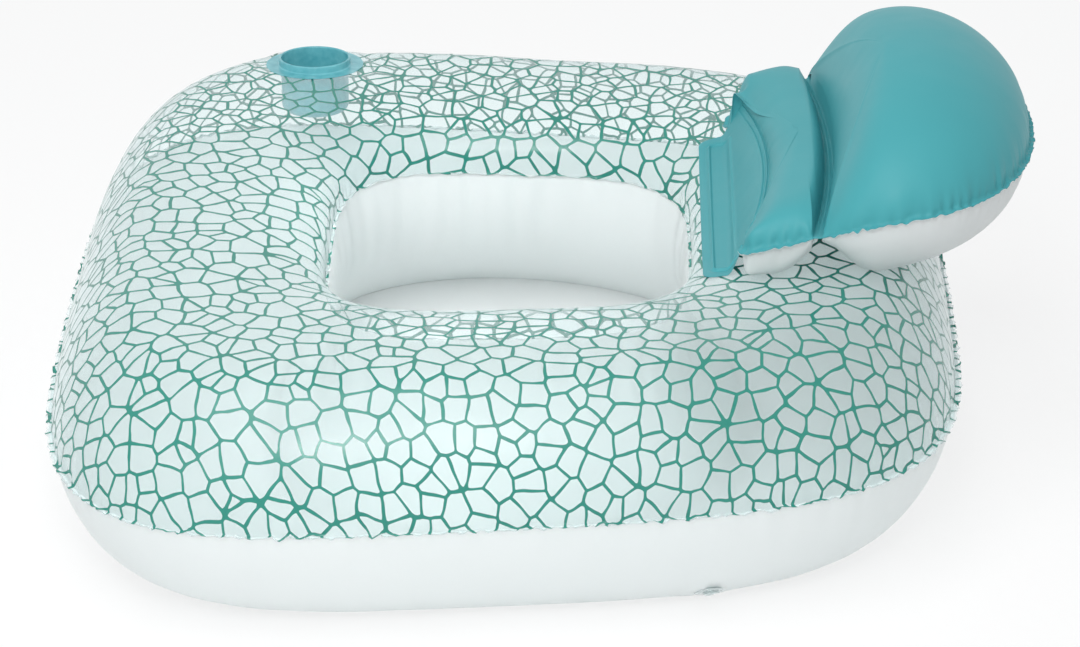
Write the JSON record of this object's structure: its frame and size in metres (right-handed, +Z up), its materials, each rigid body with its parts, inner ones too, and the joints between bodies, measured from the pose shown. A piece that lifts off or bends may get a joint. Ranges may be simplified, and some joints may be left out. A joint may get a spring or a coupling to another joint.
{
  "type": "inflatable lounge chair",
  "caption": "Square inflatable ring seat with a sheet floor, a cup pocket and a folding backrest made of a lumbar roll and an oval head pillow.",
  "frame": {"origin": "on the ground, under the middle of the whole chair", "axes": "+X towards the headrest, +Y to the side that carries the cup holder, +Z up"},
  "size_m": [1.1778, 1.1588, 0.5278],
  "materials": {
    "clear_printed_pvc": "clear sheet printed with teal cell outlines, glossy",
    "white_pvc": "opaque white sheet, satin",
    "teal_pvc": "opaque teal sheet, satin",
    "teal_clear_pvc": "translucent teal sheet, glossy",
    "clear_soft_pvc": "soft moulded clear PVC, glossy"
  },
  "bodies": {
    "ring": {"ring_top_sheet": "clear_printed_pvc", "ring_bottom_sheet": "white_pvc", "seat_floor": "white_pvc", "cup_holder": "teal_clear_pvc", "flap_tab": "teal_pvc", "ring_valve_flange": "clear_soft_pvc"},
    "lumbar_roll": {"flap_apron": "teal_pvc", "lumbar_top_sheet": "teal_pvc", "lumbar_bottom_sheet": "white_pvc", "crease_weld_strip": "teal_pvc"},
    "headrest": {"headrest_top_sheet": "teal_pvc", "headrest_bottom_sheet": "white_pvc", "headrest_valve_flange": "clear_soft_pvc"},
    "ring_stem": {"ring_valve_stem": "clear_soft_pvc"},
    "ring_plug": {"ring_valve_plug": "clear_soft_pvc"},
    "ring_check_flap": {"ring_valve_flap": "clear_soft_pvc"},
    "headrest_stem": {"headrest_valve_stem": "clear_soft_pvc"},
    "headrest_plug": {"headrest_valve_plug": "clear_soft_pvc"},
    "headrest_check_flap": {"headrest_valve_flap": "clear_soft_pvc"}
  },
  "joints": [
    {"name": "backrest_fold", "type": "hinge", "parent": "ring", "child": "lumbar_roll", "pos_m": [0.22915, 0, 0.30189], "axis": [0, -1, 0], "range_deg": [0, 90]},
    {"name": "headrest_fold", "type": "hinge", "parent": "lumbar_roll", "child": "headrest", "pos_m": [0.33215, 0, 0.372], "axis": [0, -1, 0], "range_deg": [0, 25]},
    {"name": "ring_valve_stem_slide", "type": "slide", "parent": "ring", "child": "ring_stem", "axis": [0.1612, -0.6327, -0.7575], "range_m": [0, 0.014]},
    {"name": "ring_valve_plug_hinge", "type": "hinge", "parent": "ring_stem", "child": "ring_plug", "pos_m": [0.20948, -0.45591, 0.02314], "axis": [0, -0.7675, 0.6411], "range_deg": [0, 150]},
    {"name": "ring_valve_flap_hinge", "type": "hinge", "parent": "ring_stem", "child": "ring_check_flap", "pos_m": [0.20007, -0.44361, 0.03786], "axis": [0, 0.7675, -0.6411], "range_deg": [0, 70], "stiffness_Nm_per_rad": 0.0005},
    {"name": "headrest_valve_stem_slide", "type": "slide", "parent": "headrest", "child": "headrest_stem", "axis": [0.5223, 0.1365, -0.8418], "range_m": [0, 0.014]},
    {"name": "headrest_valve_plug_hinge", "type": "hinge", "parent": "headrest_stem", "child": "headrest_plug", "pos_m": [0.51404, 0.0823, 0.31353], "axis": [0.8498, 0, 0.5272], "range_deg": [0, 150]},
    {"name": "headrest_valve_flap_hinge", "type": "hinge", "parent": "headrest_stem", "child": "headrest_check_flap", "pos_m": [0.50381, 0.07337, 0.33002], "axis": [-0.8498, 0, -0.5272], "range_deg": [0, 70], "stiffness_Nm_per_rad": 0.0005}
  ]
}
